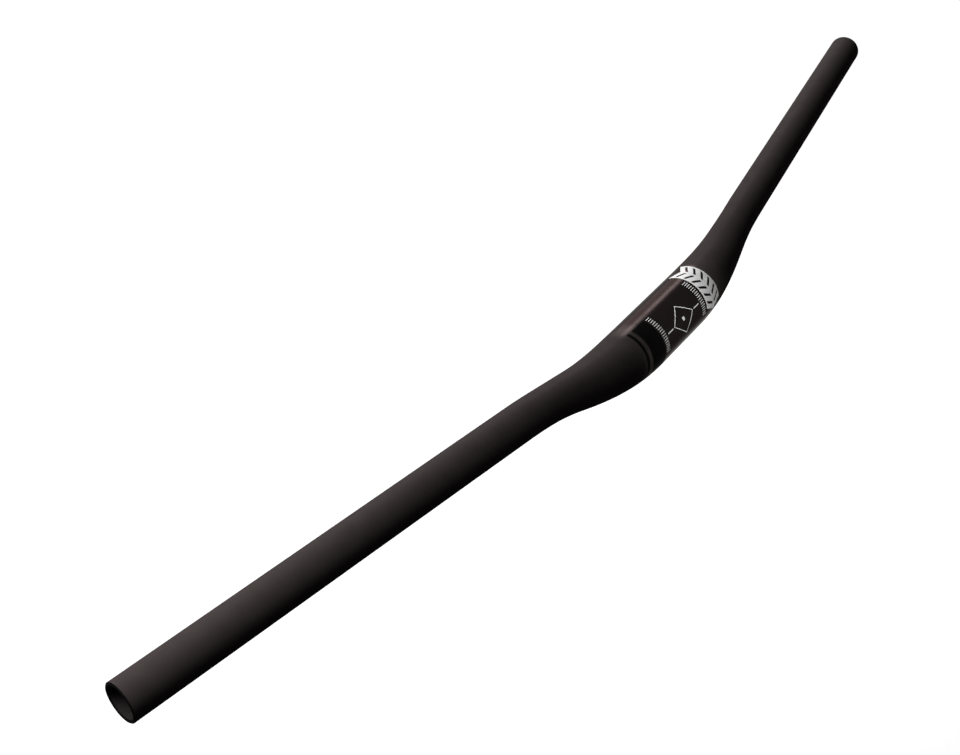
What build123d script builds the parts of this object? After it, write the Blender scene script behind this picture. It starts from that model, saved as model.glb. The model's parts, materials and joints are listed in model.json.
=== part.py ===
"""Riser handlebar: one hollow tube, swollen at the stem clamp, bent up and back into two grips.

Frame: origin at the centre of the stem clamp, +X along the clamp's axis, +Y to the rear, +Z up.
Sizes are in millimetres and degrees. The bar is the same on both sides of the plane X = 0.
"""

from build123d import *
import os
from math import cos, pi, radians, sin, tan

# Overall form
BAR_WIDTH = 800.0  # tip to tip along X
BACKSWEEP = 8.0  # the grips point this far towards the rear
UPSWEEP = 5.0  # and this far upwards

# Stem clamp, a plain cylinder in the middle
CLAMP_DIAMETER = 35.0
CLAMP_LENGTH = 48.0
CLAMP_WALL = 2.4

# Grips, plain cylinders out to the tips
GRIP_DIAMETER = 22.2
GRIP_WALL = 2.0
TIP_CHAMFER = 0.5  # broken edges, inside and outside

# Shoulders between the clamp and the grips: a long rising bend, a short straight run and a second bend
RISE_CLIMB = 13.4  # slope of the run
RISE_BACKSWEEP = 0.0  # its turn towards the rear: the rise goes straight up, and only the grips sweep back
RISE_BEND_RADIUS = 285.0
RISE_RUN = 5.0
GRIP_BEND_RADIUS = 230.0
TAPER_LENGTH = 101.0  # along the tube's axis, from the clamp's end
SHOULDER_SECTIONS = 19  # cross-sections that shape one shoulder


def direction(climb, backsweep):
    """Unit vector of a run on the +X side, from its slope and its turn towards the rear."""
    level = cos(radians(climb))
    return Vector(level * cos(radians(backsweep)), level * sin(radians(backsweep)), sin(radians(climb)))


CLAMP_WAY = Vector(1, 0, 0)
RISE_WAY = direction(RISE_CLIMB, RISE_BACKSWEEP)
GRIP_WAY = direction(UPSWEEP, BACKSWEEP)
RISE_TURN = radians(CLAMP_WAY.get_angle(RISE_WAY))
GRIP_TURN = radians(RISE_WAY.get_angle(GRIP_WAY))


def half_axis():
    """The tube's axis from the clamp's centre to the +X tip: straight runs joined by tangent arcs."""
    rise_tangent = RISE_BEND_RADIUS * tan(RISE_TURN / 2)
    grip_tangent = GRIP_BEND_RADIUS * tan(GRIP_TURN / 2)
    rise_apex = CLAMP_WAY * (CLAMP_LENGTH / 2 + rise_tangent)
    grip_apex = rise_apex + RISE_WAY * (rise_tangent + RISE_RUN + grip_tangent)
    tip = grip_apex + GRIP_WAY * ((BAR_WIDTH / 2 - grip_apex.X) / GRIP_WAY.X)
    return FilletPolyline((0, 0, 0), rise_apex, grip_apex, tip, radius=[RISE_BEND_RADIUS, GRIP_BEND_RADIUS])


AXIS = half_axis()
SHOULDER_START = CLAMP_LENGTH / 2
BENDS_LENGTH = RISE_BEND_RADIUS * RISE_TURN + RISE_RUN + GRIP_BEND_RADIUS * GRIP_TURN
SHOULDER_LENGTH = max(BENDS_LENGTH, TAPER_LENGTH)  # the grip is a plain cylinder past both of them
GRIP_LENGTH = AXIS.length - SHOULDER_START - SHOULDER_LENGTH


def ease(share):
    """Smooth step from 0 to 1, level at both ends."""
    return (1 - cos(pi * min(max(share, 0), 1))) / 2


def across(distance):
    """Plane square to the axis, at a distance along it from the clamp's centre."""
    spot = distance / AXIS.length
    return Plane(origin=AXIS @ spot, x_dir=(0, 1, 0), z_dir=AXIS % spot)


def arm(clamp_radius, grip_radius):
    """Solid rod along the axis from the clamp's end to the +X tip: the tapered shoulder and the grip."""
    sections = []
    for i in range(SHOULDER_SECTIONS):
        # The sections lie closest together at the shoulder's ends, where it runs into the cylinders.
        along = SHOULDER_LENGTH * ease(i / (SHOULDER_SECTIONS - 1))
        radius = clamp_radius + (grip_radius - clamp_radius) * ease(along / TAPER_LENGTH)
        sections.append(across(SHOULDER_START + along) * Circle(radius))
    grip_end = across(SHOULDER_START + SHOULDER_LENGTH) * Circle(grip_radius)
    return loft(sections) + extrude(grip_end, GRIP_LENGTH)


def rod(clamp_diameter, grip_diameter):
    """Solid rod from tip to tip: the clamp's cylinder and an arm at each end of it."""
    clamp = extrude(across(0) * Circle(clamp_diameter / 2), SHOULDER_START, both=True)
    right_arm = arm(clamp_diameter / 2, grip_diameter / 2)
    return clamp + right_arm + mirror(right_arm, about=Plane.YZ)


def handlebar():
    """The tube: an outer rod less an inner one that leaves the wall."""
    outside = rod(CLAMP_DIAMETER, GRIP_DIAMETER)
    inside = rod(CLAMP_DIAMETER - 2 * CLAMP_WALL, GRIP_DIAMETER - 2 * GRIP_WALL)
    tube = outside - inside
    tips = tube.faces().filter_by(GeomType.PLANE)
    return chamfer(tips.edges(), TIP_CHAMFER)


os.makedirs("parts", exist_ok=True)
export_step(handlebar(), "parts/handlebar.step")
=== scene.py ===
"""Looks of the riser handlebar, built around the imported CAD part.

Metres, in the part's own frame: origin at the centre of the stem clamp, +X along the clamp's axis,
+Y to the rear, +Z up. The bar is one hollow tube with thin screen print on the front of its clamp.
"""

import json
from math import acos, atan, ceil, cos, pi, radians, sin, tan

import bpy
from mathutils import Matrix, Vector


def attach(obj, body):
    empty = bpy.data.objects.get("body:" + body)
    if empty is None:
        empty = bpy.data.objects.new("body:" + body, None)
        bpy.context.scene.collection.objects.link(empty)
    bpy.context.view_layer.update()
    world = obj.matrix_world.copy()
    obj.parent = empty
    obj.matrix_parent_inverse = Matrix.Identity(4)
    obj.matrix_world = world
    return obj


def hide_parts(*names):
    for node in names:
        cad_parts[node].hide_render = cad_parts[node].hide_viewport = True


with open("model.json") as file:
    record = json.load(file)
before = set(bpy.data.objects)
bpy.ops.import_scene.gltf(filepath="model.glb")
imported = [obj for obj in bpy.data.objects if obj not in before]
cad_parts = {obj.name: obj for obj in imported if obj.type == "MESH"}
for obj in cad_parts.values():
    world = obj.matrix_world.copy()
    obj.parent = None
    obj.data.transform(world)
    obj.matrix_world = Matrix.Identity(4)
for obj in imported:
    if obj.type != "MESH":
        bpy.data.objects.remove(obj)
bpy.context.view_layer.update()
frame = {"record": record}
MM = 0.001

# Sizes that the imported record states
MOUNTS = {mount["name"]: mount for mount in frame["record"]["mounts"]}
CLAMP_RADIUS = MOUNTS["stem_clamp"]["dims"]["r_mm"] * MM
CLAMP_HALF = MOUNTS["stem_clamp"]["dims"]["length_mm"] * MM / 2
GRIP_RADIUS = MOUNTS["right_grip"]["dims"]["r_mm"] * MM
GRIP_HALF = MOUNTS["right_grip"]["dims"]["length_mm"] * MM / 2
GRIP_MIDDLE = Vector(MOUNTS["right_grip"]["pos_m"])
GRIP_WAY = Vector(MOUNTS["right_grip"]["axis"]).normalized()
BORE_RADIUS = MOUNTS["right_end_bore"]["dims"]["r_mm"] * MM

# The rest of the tube's shape, as in the CAD part
CLAMP_WALL = 2.4 * MM
TIP_CHAMFER = 0.5 * MM
RISE_BEND_RADIUS = 285 * MM
GRIP_BEND_RADIUS = 230 * MM
TAPER_LENGTH = 101 * MM
FIT_ROUNDS = 60  # more than enough for the rise's direction to settle

# How finely the tube is divided
ROUND = 96  # faces round the tube
CLAMP_STEP = 4 * MM
SHOULDER_STEP = 1.8 * MM
GRIP_STEP = 6 * MM
COUNT_SLACK = 1e-6  # keeps a rounding error from adding a division

# Where along X the clamp's satin finish starts to fade, and where the arms' matte finish is full
SATIN_LEFT = -30 * MM
GLOSS_GONE = -50 * MM
MATTE_LEFT = -54 * MM
SATIN_RIGHT = 38 * MM  # under the white band
MATTE_RIGHT = 45 * MM

# Screen print on the clamp, laid out flat: along X, and round the tube from the print's middle
PRINT_TURN = radians(-4.7)  # the print's middle, up from straight ahead
INK = 0.03 * MM  # how far the ink stands proud
INK_ROOT = 0.05 * MM  # and how far it reaches into the tube
INK_STEP = 0.5 * MM  # longest side of an ink face round the tube
INK_RUN = 2 * MM  # and along it
TICKS_ABOVE = 10  # ticks above the print's middle
TICKS_BELOW = 6
TICK_PITCH = 1.54 * MM
TICK_LENGTH = 3.8 * MM
TICK_WIDTH = 0.42 * MM
RING_PLACE = 22.6 * MM
LINE_WIDTH = 0.6 * MM
MARK_REACH = 19 * MM
DIAMOND_WIDE = 11.5 * MM  # half of the diamond's width
DIAMOND_TALL = 9.5 * MM  # and of its height
MARK_DOT = 2.2 * MM
BAND_START = 26.3 * MM
BAND_EDGE = 1.3 * MM
BAND_SLOT = 6.1 * MM
BAND_MIDDLE = 1.7 * MM
BAND_ROWS = 7
BAND_PITCH = 5.4 * MM
BAND_LOW = -12.3 * MM  # the band's lower end
BAND_GAP = 0.34  # share of a row that its slots take
BAND_SLANT = 0.55  # rise of a slot for each unit along X
PATCH_START = 25.6 * MM
PATCH_END = 39.3 * MM
STRIPE_START = 42.4 * MM
STRIPE_END = 44.8 * MM
PATCH_TURN = radians(55)  # half of the angle that patch and stripe cover

# Colours, and how rough and how metallic each black finish is
SATIN_COLOUR = (0.0108, 0.0088, 0.0086)
SATIN_ROUGH = 0.235
SATIN_METAL = 0.64
MATTE_COLOUR = (0.069, 0.057, 0.0563)
MATTE_ROUGH = 0.33
MATTE_METAL = 0.01
# The rim's black is darker than the tube's: painted shade on the cut end
RIM_PAINTED_SHADE_COLOUR = (0.008, 0.0074, 0.0073)
RIM_ROUGH = 0.4
RIM_METAL = 0.05
# The bore's black is lighter than the rim's, to show the inner wall as lit: painted light
BORE_PAINTED_LIGHT_COLOUR = (0.037, 0.0333, 0.033)
BORE_ROUGH = 0.45
BORE_METAL = 0.03
WHITE_INK_COLOUR = (0.85, 0.848, 0.846)
BLACK_INK_COLOUR = (0.004, 0.004, 0.004)
EDGE_TINT = (0.503, 0.491, 0.49)  # holds the finishes' gloss down where it is seen at a low angle
NOISE_LOW = 0.3  # nearly all of a noise texture's values lie between these two
NOISE_HIGH = 0.7

# The photograph's camera
CAMERA_PLACE = Vector((-0.68251, -0.59207, 0.21848))
CAMERA_LOOK = Vector((0.65544, 0.72672, -0.20563))
CAMERA_UP = Vector((0.50556, -0.21967, 0.83436))
CAMERA_LENS = 57.2
SENSOR_WIDTH = 36.0

# Lamps: the direction and distance of each from the clamp. At level 1 white paper there shows white
KEY_LAMP = {"way": (0.754, 0.074, 0.652), "distance": 2.4, "size": 0.38, "level": 0.34}
LEFT_LAMP = {"way": (-0.787, -0.121, 0.605), "distance": 0.66, "size": 0.25, "level": 0.34}
REAR_LAMP = {"way": (0.669, 0.372, 0.644), "distance": 1.6, "size": 0.82, "level": 0.72}
FRONT_SPOT = {"way": (-0.3, -0.94, 0.17), "distance": 0.7, "level": 0.64}
SPOT_ASIDE = 8 * MM  # how far along X the spot's middle is
SPOT_REACH = 48 * MM  # where it has faded out
SPOT_SIZE = 20 * MM
WORLD_FILL = 0.03  # the world's strength for shading; 1 is white

# The floor: white paper, lifted to the surround's white away from the shadow
FLOOR_DROP = 0.55
FLOOR_RADIUS = 40.0
FLOOR_SIDES = 64
PAPER_SEEN = 0.8
PAPER_UNSEEN = 0.03  # for the light that it throws back on the bar
LIFT_START = 0.35  # distance from the floor's middle at which the lift begins to grow
LIFT_END = 1.0
LIFT_LOW = 0.4
LIFT_HIGH = 1.0


def ease(share):
    """Smooth step from 0 to 1, level at both ends."""
    return (1 - cos(pi * min(max(share, 0), 1))) / 2


def shoulder_corners():
    """Where the tube's straight runs would meet on the +X side, and the rise's direction between."""
    clamp_end = Vector((CLAMP_HALF, 0, 0))
    grip_start = GRIP_MIDDLE - GRIP_WAY * GRIP_HALF
    rise_way = (grip_start - clamp_end).normalized()
    for _ in range(FIT_ROUNDS):
        rise_turn = acos(rise_way.x)
        grip_turn = rise_way.angle(GRIP_WAY)
        low = clamp_end + Vector((RISE_BEND_RADIUS * tan(rise_turn / 2), 0, 0))
        high = grip_start - GRIP_WAY * (GRIP_BEND_RADIUS * tan(grip_turn / 2))
        rise_way = (high - low).normalized()
    return low, high, rise_way


LOW_CORNER, HIGH_CORNER, RISE_WAY = shoulder_corners()
RISE_TURN = acos(RISE_WAY.x)
GRIP_TURN = RISE_WAY.angle(GRIP_WAY)
RISE_ARC = RISE_BEND_RADIUS * RISE_TURN
GRIP_ARC = GRIP_BEND_RADIUS * GRIP_TURN
RISE_START = LOW_CORNER + RISE_WAY * (RISE_BEND_RADIUS * tan(RISE_TURN / 2))
RISE_END = HIGH_CORNER - RISE_WAY * (GRIP_BEND_RADIUS * tan(GRIP_TURN / 2))
SHOULDER_LENGTH = RISE_ARC + (RISE_END - RISE_START).length + GRIP_ARC
SHOULDER_END = CLAMP_HALF + SHOULDER_LENGTH
TIP = SHOULDER_END + 2 * GRIP_HALF + TIP_CHAMFER


def bend(start, before, after, radius, along):
    """Point and direction at a distance along an arc that turns from one direction to another."""
    inward = (after - before * before.dot(after)).normalized()
    turn = along / radius
    point = start + before * (radius * sin(turn)) + inward * (radius * (1 - cos(turn)))
    return point, before * cos(turn) + inward * sin(turn)


def on_axis(distance):
    """Point and direction of the tube's axis at a distance from the clamp's middle.

    Distances less than 0 are on the -X side.
    """
    along = abs(distance)
    ahead = Vector((1, 0, 0))
    rise_bend_end = CLAMP_HALF + RISE_ARC
    grip_bend_start = SHOULDER_END - GRIP_ARC
    if along <= CLAMP_HALF:
        point, way = ahead * along, ahead
    elif along <= rise_bend_end:
        start = ahead * CLAMP_HALF
        point, way = bend(start, ahead, RISE_WAY, RISE_BEND_RADIUS, along - CLAMP_HALF)
    elif along <= grip_bend_start:
        point, way = RISE_START + RISE_WAY * (along - rise_bend_end), RISE_WAY
    elif along <= SHOULDER_END:
        point, way = bend(RISE_END, RISE_WAY, GRIP_WAY, GRIP_BEND_RADIUS, along - grip_bend_start)
    else:
        point, way = GRIP_MIDDLE + GRIP_WAY * (along - SHOULDER_END - GRIP_HALF), GRIP_WAY
    if distance < 0:
        return Vector((-point.x, point.y, point.z)), Vector((way.x, -way.y, -way.z))
    return point, way


def tapered(clamp_radius, grip_radius, distance):
    """A radius that eases from the clamp's to the grip's along the shoulder."""
    share = ease((abs(distance) - CLAMP_HALF) / TAPER_LENGTH)
    return clamp_radius + (grip_radius - clamp_radius) * share


def around(distance, turn, radius):
    """A point round the tube's axis, turned up from straight ahead."""
    centre, way = on_axis(distance)
    front = way.cross(Vector((0, 0, 1))).normalized()
    up = front.cross(way)
    return centre + (front * cos(turn) + up * sin(turn)) * radius


def ring(distance, radius):
    """A circle of points square to the tube's axis."""
    return [around(distance, 2 * pi * i / ROUND, radius) for i in range(ROUND)]


def stretch(start, end, step):
    """Even distances from start up to, but not including, end."""
    count = max(1, ceil((end - start) / step - COUNT_SLACK))
    return [start + (end - start) * i / count for i in range(count)]


def side_distances():
    """Distances of the tube's rings from the clamp's middle out to the tip's broken edge."""
    last = TIP - TIP_CHAMFER
    return (
        stretch(0, CLAMP_HALF, CLAMP_STEP)
        + stretch(CLAMP_HALF, SHOULDER_END, SHOULDER_STEP)
        + stretch(SHOULDER_END, last, GRIP_STEP)
        + [last]
    )


def bar_rings():
    """The tube's rings: along the outside, round one rim, back along the bore, round the other rim.

    With each ring comes the zone of the faces between it and the next one.
    """
    whole = [-d for d in reversed(side_distances()[1:])] + side_distances()
    bore_clamp = CLAMP_RADIUS - CLAMP_WALL
    rings = [ring(d, tapered(CLAMP_RADIUS, GRIP_RADIUS, d)) for d in whole]
    zones = ["skin"] * (len(whole) - 1)
    rings += [ring(TIP, GRIP_RADIUS - TIP_CHAMFER), ring(TIP, BORE_RADIUS + TIP_CHAMFER)]
    zones += ["rim"] * 3
    rings += [ring(d, tapered(bore_clamp, BORE_RADIUS, d)) for d in reversed(whole)]
    zones += ["bore"] * (len(whole) - 1)
    rings += [ring(-TIP, BORE_RADIUS + TIP_CHAMFER), ring(-TIP, GRIP_RADIUS - TIP_CHAMFER)]
    zones += ["rim"] * 3
    return rings, zones


def bar_mesh():
    """The closed skin of the tube, smooth along its length and sharp at its rims."""
    rings, zones = bar_rings()
    points = [point for circle in rings for point in circle]
    faces = []
    for i in range(len(rings)):
        here, there = i * ROUND, (i + 1) % len(rings) * ROUND
        for j in range(ROUND):
            k = (j + 1) % ROUND
            faces.append((here + j, there + j, there + k, here + k))
    mesh = bpy.data.meshes.new("bar")
    mesh.from_pydata(points, [], faces)
    slots = {"skin": 0, "rim": 1, "bore": 2}
    for i, zone in enumerate(zones):
        for face in mesh.polygons[i * ROUND : (i + 1) * ROUND]:
            face.material_index = slots[zone]
            face.use_smooth = True
    rim_rings = {i for i, zone in enumerate(zones) if zone == "rim"}
    sharp = rim_rings | {(i + 1) % len(rings) for i in rim_rings}
    for edge in mesh.edges:
        a, b = (v // ROUND for v in edge.vertices)
        edge.use_edge_sharp = a == b and a in sharp
    return mesh


def add_piece(name, mesh, materials):
    """A new object of the handlebar, riding on its one body."""
    piece = bpy.data.objects.new(name, mesh)
    bpy.context.scene.collection.objects.link(piece)
    for material in materials:
        mesh.materials.append(material)
    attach(piece, "root")
    return piece


def wrap(x, arc, lift):
    """A flat spot of the print, laid on the tube's skin and lifted off it."""
    turn = PRINT_TURN + arc / CLAMP_RADIUS
    return around(x, turn, tapered(CLAMP_RADIUS, GRIP_RADIUS, x) + lift)


def cell_spot(corners, across, up):
    """The flat spot at a share across and up a four-cornered cell."""
    low = [a + (b - a) * across for a, b in zip(corners[0], corners[1])]
    high = [a + (b - a) * across for a, b in zip(corners[3], corners[2])]
    return tuple(round(a + (b - a) * up, 7) for a, b in zip(low, high))


def cell_count(*sides):
    """How many ink faces a cell needs along the longer of two opposite sides."""
    runs = [abs(b[0] - a[0]) / INK_RUN for a, b in sides]
    arcs = [abs(b[1] - a[1]) / INK_STEP for a, b in sides]
    return max(1, ceil(max(runs + arcs) - COUNT_SLACK))


def film(name, cells, material):
    """A thin layer of ink on the clamp, from four-cornered cells laid flat.

    Each corner is (along X, round the tube).
    """
    spots = {}
    faces = []
    for corners in cells:
        low_left, low_right, high_right, high_left = corners
        columns = cell_count((low_left, low_right), (high_left, high_right))
        rows = cell_count((low_left, high_left), (low_right, high_right))
        for i in range(columns):
            for j in range(rows):
                square = ((i, j), (i + 1, j), (i + 1, j + 1), (i, j + 1))
                places = [cell_spot(corners, a / columns, b / rows) for a, b in square]
                faces.append([spots.setdefault(place, len(spots)) for place in places])

    count = len(spots)
    points = [wrap(x, arc, INK) for x, arc in spots]
    points += [wrap(x, arc, -INK_ROOT) for x, arc in spots]
    sides = {(a, b) for face in faces for a, b in zip(face, face[1:] + face[:1])}
    walls = [(b, a, a + count, b + count) for a, b in sorted(sides) if (b, a) not in sides]
    under = [[v + count for v in reversed(face)] for face in faces]
    mesh = bpy.data.meshes.new(name)
    mesh.from_pydata(points, [], faces + under + walls)
    for face in mesh.polygons[: 2 * len(faces)]:
        face.use_smooth = True
    mesh.validate()
    rims = {tuple(sorted(pair)) for wall in walls for pair in zip(wall, wall[1:] + wall[:1])}
    for edge in mesh.edges:
        edge.use_edge_sharp = tuple(sorted(edge.vertices)) in rims
    return add_piece(name, mesh, [material])


def box_cell(x0, x1, low, high):
    """A flat upright cell."""
    return ((x0, low), (x1, low), (x1, high), (x0, high))


def tick_cells(side):
    """One ring of graduation ticks, at the -X or +X side of the clamp's middle."""
    start = side * RING_PLACE - TICK_LENGTH / 2
    half = TICK_WIDTH / 2
    cells = []
    for i in range(-TICKS_BELOW, TICKS_ABOVE + 1):
        arc = i * TICK_PITCH
        cells.append(box_cell(start, start + TICK_LENGTH, arc - half, arc + half))
    return cells


def mark_cells():
    """A centring mark in the clamp's middle: a thin diamond, a square dot and a line each side."""
    inner = 1 - LINE_WIDTH / DIAMOND_TALL
    corners = [(DIAMOND_WIDE, 0), (0, DIAMOND_TALL), (-DIAMOND_WIDE, 0), (0, -DIAMOND_TALL)]
    cells = []
    for a, b in zip(corners, corners[1:] + corners[:1]):
        cells.append(((a[0] * inner, a[1] * inner), a, b, (b[0] * inner, b[1] * inner)))
    dot = MARK_DOT / 2
    cells.append(box_cell(-dot, dot, -dot, dot))
    start = DIAMOND_WIDE + 2 * LINE_WIDTH
    half = LINE_WIDTH / 2
    cells.append(box_cell(start, MARK_REACH, -half, half))
    cells.append(box_cell(-MARK_REACH, -start, -half, half))
    return cells


def band_cells():
    """A white band round the tube's front, with two rows of slots slanting towards each other."""
    widths = [BAND_EDGE, BAND_SLOT, BAND_MIDDLE, BAND_SLOT, BAND_EDGE]
    lines = [BAND_START]
    for width in widths:
        lines.append(lines[-1] + width)
    middle = (lines[0] + lines[-1]) / 2

    def lean(x):
        return BAND_SLANT * abs(x - middle)

    strips = []
    for i in range(BAND_ROWS):
        low = BAND_LOW + i * BAND_PITCH
        slot = low + BAND_PITCH * (1 - BAND_GAP)
        strips += [(low, slot, False), (slot, low + BAND_PITCH, True)]
    cells = []
    for low, high, slotted in strips[:-1]:
        for width, x0, x1 in zip(widths, lines, lines[1:]):
            if slotted and width == BAND_SLOT:
                continue
            parts = [x0, middle, x1] if x0 < middle < x1 else [x0, x1]
            for a, b in zip(parts, parts[1:]):
                below = ((a, low + lean(a)), (b, low + lean(b)))
                above = ((b, high + lean(b)), (a, high + lean(a)))
                cells.append(below + above)
    return cells


def patch_cells():
    """A black patch on the -X side of the clamp, and a narrow stripe beyond it."""
    half = PATCH_TURN * CLAMP_RADIUS
    return [
        box_cell(-PATCH_END, -PATCH_START, -half, half),
        box_cell(-STRIPE_END, -STRIPE_START, -half, half),
    ]


def new_material(name, colour, roughness, metal=0.0, specular=0.0):
    """A node material with its Principled shader, even values set on the shader itself."""
    material = bpy.data.materials.new(name)
    material.use_nodes = True
    shader = material.node_tree.nodes["Principled BSDF"]
    shader.inputs["Base Color"].default_value = (*colour, 1)
    shader.inputs["Roughness"].default_value = roughness
    shader.inputs["Metallic"].default_value = metal
    shader.inputs["Specular IOR Level"].default_value = specular
    shader.inputs["Specular Tint"].default_value = (*EDGE_TINT, 1)
    return material, shader


def noise(material, size, detail=3.0, stretch_by=(1, 1, 1)):
    """Noise in the part's own frame, with features about as large as size in metres."""
    nodes, links = material.node_tree.nodes, material.node_tree.links
    place = nodes.new("ShaderNodeTexCoord")
    scale = nodes.new("ShaderNodeMapping")
    scale.inputs["Scale"].default_value = [s / size for s in stretch_by]
    texture = nodes.new("ShaderNodeTexNoise")
    texture.inputs["Scale"].default_value = 1.0
    texture.inputs["Detail"].default_value = detail
    links.new(place.outputs["Object"], scale.inputs["Vector"])
    links.new(scale.outputs["Vector"], texture.inputs["Vector"])
    return texture.outputs["Fac"]


def carried(tree, value, start, end, low, high):
    """A value carried over from the range start to end, to the range low to high."""
    node = tree.nodes.new("ShaderNodeMapRange")
    node.inputs["From Min"].default_value = start
    node.inputs["From Max"].default_value = end
    node.inputs["To Min"].default_value = low
    node.inputs["To Max"].default_value = high
    tree.links.new(value, node.inputs["Value"])
    return node


def spread(material, value, low, high):
    """A noise value carried over to a range."""
    node = carried(material.node_tree, value, NOISE_LOW, NOISE_HIGH, low, high)
    return node.outputs["Result"]


def between(tree, value, low, high):
    """Low where value is 0, high where it is 1."""
    return carried(tree, value, 0, 1, low, high).outputs["Result"]


def mix_colours(tree, factor, first, second):
    """A mix of two colours, each a plain colour or another node's output."""
    mix = tree.nodes.new("ShaderNodeMix")
    mix.data_type = "RGBA"
    tree.links.new(factor, mix.inputs["Factor"])
    for name, colour in (("A", first), ("B", second)):
        if isinstance(colour, tuple):
            mix.inputs[name].default_value = (*colour, 1)
        else:
            tree.links.new(colour, mix.inputs[name])
    return mix.outputs["Result"]


def shades(material, value, colour, wander):
    """A colour that wanders with a noise by a share of itself, darker and lighter."""
    dark = tuple(c * (1 - wander) for c in colour)
    light = tuple(c * (1 + wander) for c in colour)
    return mix_colours(material.node_tree, spread(material, value, 0, 1), dark, light)


def mottle(material, shader, value, colour, wander):
    """Lets the base colour wander with a noise."""
    shade = shades(material, value, colour, wander)
    material.node_tree.links.new(shade, shader.inputs["Base Color"])


def roughen(material, shader, height, depth):
    """A bump of a real depth in metres."""
    nodes, links = material.node_tree.nodes, material.node_tree.links
    bump = nodes.new("ShaderNodeBump")
    bump.inputs["Strength"].default_value = 1.0
    bump.inputs["Distance"].default_value = depth
    links.new(height, bump.inputs["Height"])
    links.new(bump.outputs["Normal"], shader.inputs["Normal"])
    return bump


def along_bar(material, left_end, near, far):
    """A value that is near on the clamp's satin and eases to far on the arms."""
    tree = material.node_tree
    place = tree.nodes.new("ShaderNodeTexCoord")
    split = tree.nodes.new("ShaderNodeSeparateXYZ")
    tree.links.new(place.outputs["Object"], split.inputs["Vector"])
    off_clamp = tree.nodes.new("ShaderNodeMath")
    off_clamp.operation = "MAXIMUM"
    for i, (start, end) in enumerate(((SATIN_LEFT, left_end), (SATIN_RIGHT, MATTE_RIGHT))):
        step = carried(tree, split.outputs["X"], start, end, 0, 1)
        step.interpolation_type = "SMOOTHSTEP"
        tree.links.new(step.outputs["Result"], off_clamp.inputs[i])
    return between(tree, off_clamp.outputs["Value"], near, far)


def bar_finish():
    """Black anodising: satin on the clamp, fading on the shoulders to the arms' matte grain."""
    material, shader = new_material("black_anodised", MATTE_COLOUR, MATTE_ROUGH, MATTE_METAL)
    tree = material.node_tree
    blotches = noise(material, 8 * MM)
    satin = shades(material, blotches, SATIN_COLOUR, 0.07)
    matte = shades(material, blotches, MATTE_COLOUR, 0.06)
    colour = mix_colours(tree, along_bar(material, MATTE_LEFT, 0, 1), satin, matte)
    tree.links.new(colour, shader.inputs["Base Color"])
    metal = along_bar(material, GLOSS_GONE, SATIN_METAL, MATTE_METAL)
    tree.links.new(metal, shader.inputs["Metallic"])
    rough = tree.nodes.new("ShaderNodeMath")
    tree.links.new(along_bar(material, MATTE_LEFT, SATIN_ROUGH, MATTE_ROUGH), rough.inputs[0])
    tree.links.new(spread(material, noise(material, 2.5 * MM), -0.02, 0.02), rough.inputs[1])
    tree.links.new(rough.outputs["Value"], shader.inputs["Roughness"])
    grain = roughen(material, shader, noise(material, 0.3 * MM, 2.0), 0.012 * MM)
    tree.links.new(along_bar(material, MATTE_LEFT, 0.35, 1.0), grain.inputs["Strength"])
    return material


def rim_finish_with_painted_shade():
    """The cut end, anodised black and coloured darker than the tube as painted shade, with a little
    of the saw's grain left.
    """
    material, shader = new_material("rim_black_painted_shade", RIM_PAINTED_SHADE_COLOUR, RIM_ROUGH, RIM_METAL)
    mottle(material, shader, noise(material, 1.2 * MM), RIM_PAINTED_SHADE_COLOUR, 0.125)
    roughen(material, shader, noise(material, 0.3 * MM, 2.0, (1, 1, 0.15)), 0.01 * MM)
    return material


def bore_finish_with_painted_light():
    """The drawn inside of the tube, anodised with the rest, its black lightened as painted light on
    the inner wall, and streaked along its length.
    """
    material, shader = new_material("bore_black_painted_light", BORE_PAINTED_LIGHT_COLOUR, BORE_ROUGH, BORE_METAL)
    streaks = noise(material, 0.8 * MM, 2.0, (0.03, 1, 1))
    mottle(material, shader, streaks, BORE_PAINTED_LIGHT_COLOUR, 0.135)
    roughen(material, shader, streaks, 0.02 * MM)
    return material


def white_ink():
    """Thin white screen print, a little uneven."""
    material, shader = new_material("print_white", WHITE_INK_COLOUR, 0.5, specular=0.2)
    mottle(material, shader, noise(material, 1.5 * MM), WHITE_INK_COLOUR, 0.035)
    links = material.node_tree.links
    links.new(spread(material, noise(material, 1 * MM), 0.45, 0.6), shader.inputs["Roughness"])
    roughen(material, shader, noise(material, 0.2 * MM, 2.0), 0.004 * MM)
    return material


def black_ink():
    """Deep black screen print."""
    material, shader = new_material("print_black", BLACK_INK_COLOUR, 0.4, metal=0.2)
    mottle(material, shader, noise(material, 3 * MM), BLACK_INK_COLOUR, 0.125)
    links = material.node_tree.links
    links.new(spread(material, noise(material, 1 * MM), 0.35, 0.45), shader.inputs["Roughness"])
    roughen(material, shader, noise(material, 0.2 * MM, 2.0), 0.003 * MM)
    return material


def seen_rays(tree):
    """1 for rays that the camera, a gloss or a clear surface sends, 0 for the rest."""
    path = tree.nodes.new("ShaderNodeLightPath")
    total = path.outputs["Is Camera Ray"]
    for name in ("Is Glossy Ray", "Is Transmission Ray"):
        add = tree.nodes.new("ShaderNodeMath")
        add.operation = "ADD"
        add.use_clamp = True
        tree.links.new(total, add.inputs[0])
        tree.links.new(path.outputs[name], add.inputs[1])
        total = add.outputs["Value"]
    return total


def set_world():
    """A white surround for the camera and for reflections, and only a dim one for shading."""
    world = bpy.data.worlds.new("studio")
    bpy.context.scene.world = world
    world.use_nodes = True
    background = world.node_tree.nodes["Background"]
    background.inputs["Color"].default_value = (1, 1, 1, 1)
    strength = between(world.node_tree, seen_rays(world.node_tree), WORLD_FILL, 1.0)
    world.node_tree.links.new(strength, background.inputs["Strength"])


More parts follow.
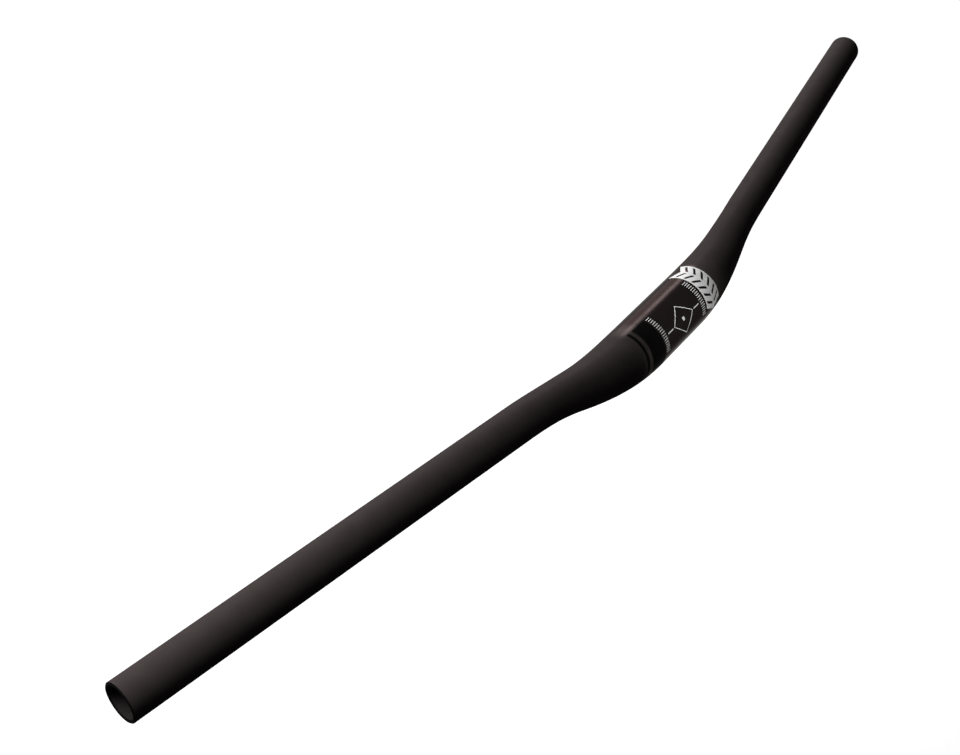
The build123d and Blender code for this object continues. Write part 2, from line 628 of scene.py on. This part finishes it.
def floor_lift(tree, seen):
    """A glow for seen rays only, which grows to the surround's white away from the floor's middle."""
    place = tree.nodes.new("ShaderNodeTexCoord")
    away = tree.nodes.new("ShaderNodeVectorMath")
    away.operation = "LENGTH"
    tree.links.new(place.outputs["Object"], away.inputs[0])
    lift = carried(tree, away.outputs["Value"], LIFT_START, LIFT_END, LIFT_LOW, LIFT_HIGH)
    level = tree.nodes.new("ShaderNodeMath")
    level.operation = "MULTIPLY"
    tree.links.new(lift.outputs["Result"], level.inputs[0])
    tree.links.new(seen, level.inputs[1])
    glow = tree.nodes.new("ShaderNodeEmission")
    tree.links.new(level.outputs["Value"], glow.inputs["Strength"])
    return glow.outputs["Emission"]


def floor_material():
    """White paper that the lamps light, dim for the light that it would throw back on the bar."""
    material = bpy.data.materials.new("floor_paper")
    material.use_nodes = True
    tree = material.node_tree
    tree.nodes.remove(tree.nodes["Principled BSDF"])
    seen = seen_rays(tree)
    paper = tree.nodes.new("ShaderNodeBsdfDiffuse")
    shade = mix_colours(tree, seen, (PAPER_UNSEEN,) * 3, (PAPER_SEEN,) * 3)
    tree.links.new(shade, paper.inputs["Color"])
    both = tree.nodes.new("ShaderNodeAddShader")
    tree.links.new(paper.outputs["BSDF"], both.inputs[0])
    tree.links.new(floor_lift(tree, seen), both.inputs[1])
    tree.links.new(both.outputs["Shader"], tree.nodes["Material Output"].inputs["Surface"])
    return material


def add_floor():
    """A wide round floor below the bar."""
    turns = [2 * pi * i / FLOOR_SIDES for i in range(FLOOR_SIDES)]
    rim = [(FLOOR_RADIUS * cos(a), FLOOR_RADIUS * sin(a), 0) for a in turns]
    mesh = bpy.data.meshes.new("floor")
    mesh.from_pydata(rim, [], [list(range(FLOOR_SIDES))])
    mesh.materials.append(floor_material())
    floor = bpy.data.objects.new("floor", mesh)
    floor.location.z = -FLOOR_DROP
    bpy.context.scene.collection.objects.link(floor)


def aim(lamp, way, distance, aside=0.0):
    """Places a lamp that the camera doesn't see, facing the clamp's middle or a spot aside of it."""
    way = Vector(way).normalized()
    lamp.location = way * distance + Vector((aside, 0, 0))
    lamp.rotation_euler = way.to_track_quat("Z", "Y").to_euler()
    lamp.visible_camera = False
    bpy.context.scene.collection.objects.link(lamp)


def softbox(name, way, distance, size, level):
    """A flat square lamp that faces the clamp."""
    lamp = bpy.data.lights.new(name, "AREA")
    lamp.shape = "SQUARE"
    lamp.size = size
    lamp.energy = level * pi**2 * distance**2
    aim(bpy.data.objects.new(name, lamp), way, distance)


def spotlight(name, way, distance, level):
    """A soft spot on the clamp's print that fades out at its reach."""
    lamp = bpy.data.lights.new(name, "SPOT")
    lamp.energy = level * 4 * pi**2 * distance**2
    lamp.spot_size = 2 * atan(SPOT_REACH / distance)
    lamp.spot_blend = 1.0
    lamp.shadow_soft_size = SPOT_SIZE
    aim(bpy.data.objects.new(name, lamp), way, distance, SPOT_ASIDE)


def add_camera():
    """The photograph's viewpoint."""
    data = bpy.data.cameras.new("photo_camera")
    data.sensor_fit = "HORIZONTAL"
    data.sensor_width = SENSOR_WIDTH
    data.lens = CAMERA_LENS
    back = -CAMERA_LOOK.normalized()
    right = CAMERA_UP.cross(back).normalized()
    up = back.cross(right)
    camera = bpy.data.objects.new("photo_camera", data)
    turn = Matrix((right, up, back)).transposed().to_4x4()
    camera.matrix_world = Matrix.Translation(CAMERA_PLACE) @ turn
    bpy.context.scene.collection.objects.link(camera)
    bpy.context.scene.camera = camera


finishes = [bar_finish(), rim_finish_with_painted_shade(), bore_finish_with_painted_light()]
bar = add_piece("bar", bar_mesh(), finishes)
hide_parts("handlebar")

white = white_ink()
film("left_graduation", tick_cells(-1), white)
film("right_graduation", tick_cells(1), white)
film("centre_mark", mark_cells(), white)
film("clamp_band", band_cells(), white)
film("clamp_patch", patch_cells(), black_ink())

set_world()
add_floor()
softbox("key", **KEY_LAMP)
softbox("left", **LEFT_LAMP)
softbox("rear", **REAR_LAMP)
spotlight("front", **FRONT_SPOT)
add_camera()
bpy.context.scene.view_settings.view_transform = "Standard"
